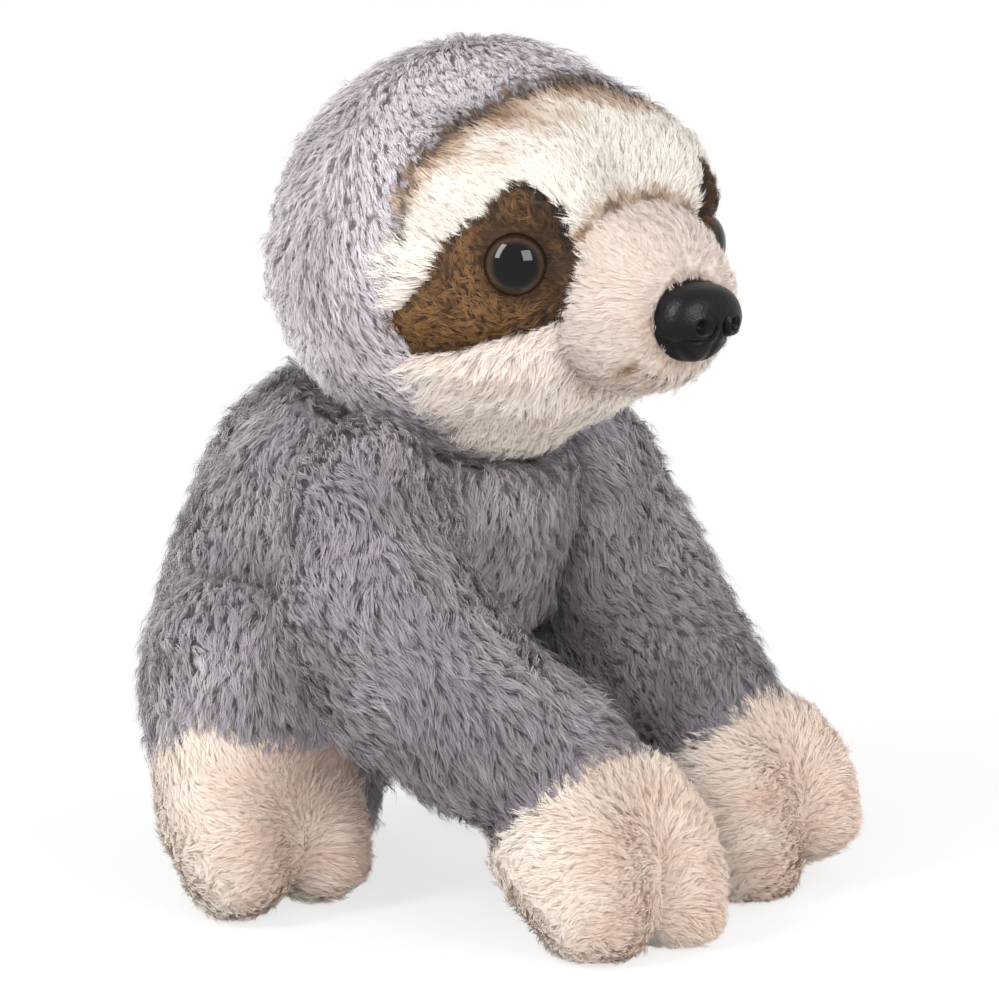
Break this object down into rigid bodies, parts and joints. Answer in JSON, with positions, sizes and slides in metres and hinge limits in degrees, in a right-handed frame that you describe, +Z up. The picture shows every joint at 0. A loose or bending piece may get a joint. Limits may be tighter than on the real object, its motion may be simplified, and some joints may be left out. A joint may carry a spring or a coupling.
{
  "type": "plush sloth",
  "caption": "Sitting floppy plush sloth with hooded head, teardrop eye patches, safety eyes, moulded nose, hanging arms and two-toed paws; head, arms and legs move.",
  "frame": {"origin": "middle of the flat of the seat, on the ground that the sloth sits on", "axes": "+Z up, -Y the way the sloth's body faces, +X to the sloth's left"},
  "size_m": [0.1302, 0.1382, 0.1705],
  "materials": {
    "hood_plush": "long soft pile",
    "body_plush": "long soft pile",
    "cream_plush": "medium soft pile with brown shading",
    "cheek_plush": "long soft pile",
    "muzzle_plush": "short pile with brown shading",
    "patch_plush": "short pile",
    "paw_plush": "short soft pile",
    "filling": "polyester fibre",
    "pellets": "cloth bag of plastic pellets",
    "body_thread": "sewing thread",
    "mouth_thread": "sewing thread",
    "paw_thread": "sewing thread",
    "eye": "glossy clear dome over a dark brown iris and black pupil",
    "nose": "satin, finely grained",
    "washer": "natural moulded plastic"
  },
  "bodies": {
    "torso": {"back_panel_right": "body_plush", "back_panel_left": "body_plush", "chest_panel": "body_plush", "seat_panel": "body_plush", "torso_stuffing": "filling", "pellet_bag": "pellets", "closing_stitch": "body_thread"},
    "neck": {"neck_stuffing": "filling"},
    "head": {"crown_panel": "hood_plush", "hood_side_right": "hood_plush", "hood_side_left": "hood_plush", "eye_patch_right": "patch_plush", "eye_patch_left": "patch_plush", "forehead_panel": "cream_plush", "cheek_panel": "cheek_plush", "muzzle_cover": "muzzle_plush", "head_stuffing": "filling", "eye_right": "eye", "eye_left": "eye", "eye_washer_right": "washer", "eye_washer_left": "washer", "nose": "nose", "nose_washer": "washer", "mouth_stitch": "mouth_thread"},
    "arm_right": {"sleeve_outer_right": "body_plush", "sleeve_inner_right": "body_plush", "paw_cover_right": "paw_plush", "arm_stuffing_right": "filling", "paw_stitch_right": "paw_thread"},
    "arm_left": {"sleeve_outer_left": "body_plush", "sleeve_inner_left": "body_plush", "paw_cover_left": "paw_plush", "arm_stuffing_left": "filling", "paw_stitch_left": "paw_thread"},
    "leg_right": {"leg_panel_outer_right": "body_plush", "leg_panel_inner_right": "body_plush", "foot_cover_right": "paw_plush", "leg_stuffing_right": "filling", "foot_stitch_right": "paw_thread"},
    "leg_left": {"leg_panel_outer_left": "body_plush", "leg_panel_inner_left": "body_plush", "foot_cover_left": "paw_plush", "leg_stuffing_left": "filling", "foot_stitch_left": "paw_thread"}
  },
  "joints": [
    {"name": "neck_turn", "type": "hinge", "parent": "torso", "child": "neck", "pos_m": [0, -0.041, 0.109], "axis": [0, 0, 1], "range_deg": [-27, 57]},
    {"name": "head_nod", "type": "hinge", "parent": "neck", "child": "head", "pos_m": [0, -0.041, 0.109], "axis": [0.9659, -0.2588, 0], "range_deg": [-10, 10]},
    {"name": "shoulder_right", "type": "hinge", "parent": "torso", "child": "arm_right", "pos_m": [-0.032, -0.038, 0.084], "axis": [-1, 0, 0], "range_deg": [0, 40]},
    {"name": "shoulder_left", "type": "hinge", "parent": "torso", "child": "arm_left", "pos_m": [0.032, -0.038, 0.084], "axis": [-1, 0, 0], "range_deg": [0, 40]},
    {"name": "hip_right", "type": "hinge", "parent": "torso", "child": "leg_right", "pos_m": [-0.024, -0.005, 0.04], "axis": [-1, 0, 0], "range_deg": [0, 25]},
    {"name": "hip_left", "type": "hinge", "parent": "torso", "child": "leg_left", "pos_m": [0.024, -0.005, 0.04], "axis": [-1, 0, 0], "range_deg": [0, 25]}
  ]
}
